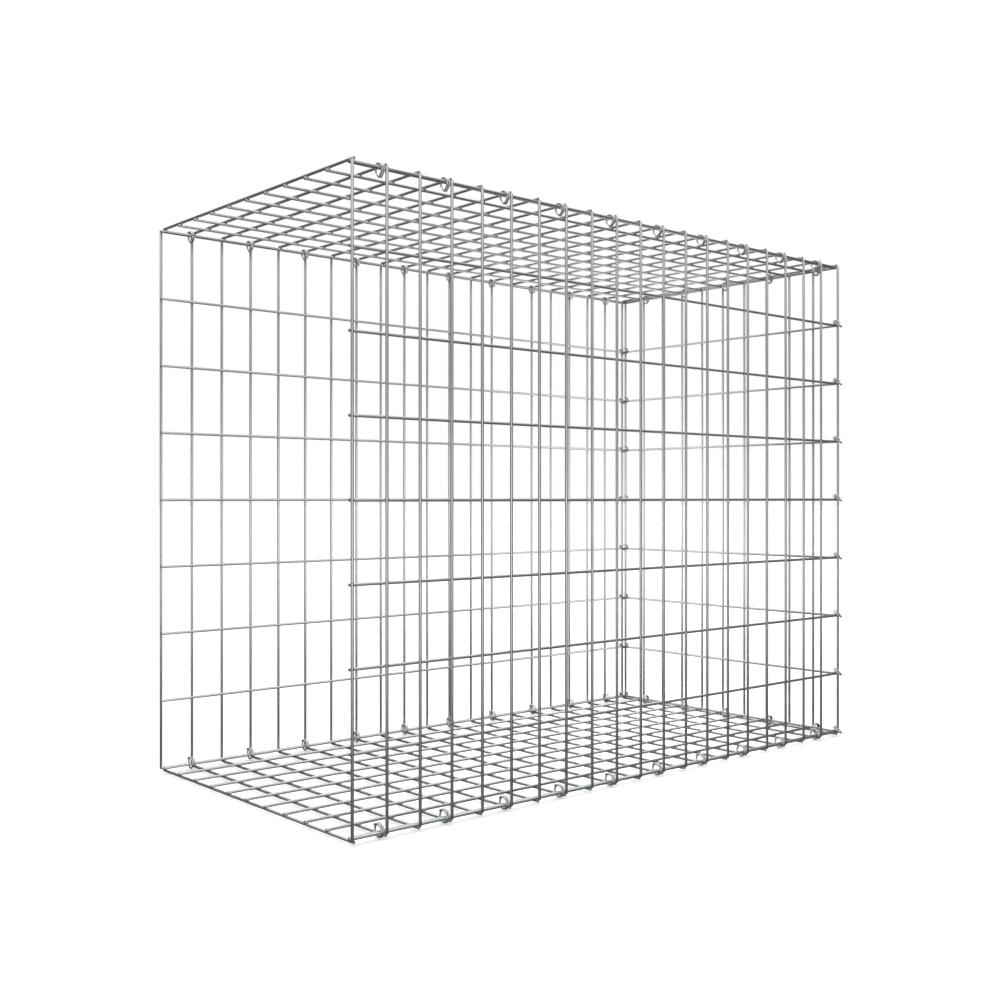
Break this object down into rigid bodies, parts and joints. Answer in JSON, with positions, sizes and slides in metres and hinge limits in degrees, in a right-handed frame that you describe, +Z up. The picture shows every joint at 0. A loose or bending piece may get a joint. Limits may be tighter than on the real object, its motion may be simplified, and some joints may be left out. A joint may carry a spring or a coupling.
{
  "type": "gabion basket",
  "caption": "Empty gabion basket of welded galvanised wire mesh, an extension unit open at one end, laced along its edges with wire rings.",
  "frame": {"origin": "on the ground, under the middle of the whole basket", "axes": "+Z up, +X along the basket towards its closed end, -Y towards the front panel"},
  "size_m": [1.015, 0.5228, 0.8175],
  "materials": {
    "galvanised_wire": "galvanised, dull silver grey",
    "ring_wire": "galvanised spring wire, brighter than the mesh"
  },
  "bodies": {
    "root": {"back_corner_rings_1": "ring_wire", "back_corner_rings_2": "ring_wire", "back_corner_rings_3": "ring_wire", "back_corner_rings_4": "ring_wire", "back_panel": "galvanised_wire", "base_back_rings_1": "ring_wire", "base_back_rings_2": "ring_wire", "base_back_rings_3": "ring_wire", "base_back_rings_4": "ring_wire", "base_back_rings_5": "ring_wire", "base_end_ring_1": "ring_wire", "base_end_ring_2": "ring_wire", "base_end_ring_3": "ring_wire", "base_end_ring_4": "ring_wire", "base_end_ring_5": "ring_wire", "base_front_rings_1": "ring_wire", "base_front_rings_2": "ring_wire", "base_front_rings_3": "ring_wire", "base_front_rings_4": "ring_wire", "base_front_rings_5": "ring_wire", "base_panel": "galvanised_wire", "end_panel": "galvanised_wire", "front_corner_rings_1": "ring_wire", "front_corner_rings_2": "ring_wire", "front_corner_rings_3": "ring_wire", "front_corner_rings_4": "ring_wire", "front_panel": "galvanised_wire", "lid_back_rings_1": "ring_wire", "lid_back_rings_2": "ring_wire", "lid_back_rings_3": "ring_wire", "lid_back_rings_4": "ring_wire", "lid_back_rings_5": "ring_wire", "lid_end_ring_1": "ring_wire", "lid_end_ring_2": "ring_wire", "lid_end_ring_3": "ring_wire", "lid_end_ring_4": "ring_wire", "lid_end_ring_5": "ring_wire", "lid_front_rings_1": "ring_wire", "lid_front_rings_2": "ring_wire", "lid_front_rings_3": "ring_wire", "lid_front_rings_4": "ring_wire", "lid_front_rings_5": "ring_wire", "lid_panel": "galvanised_wire"}
  },
  "joints": []
}
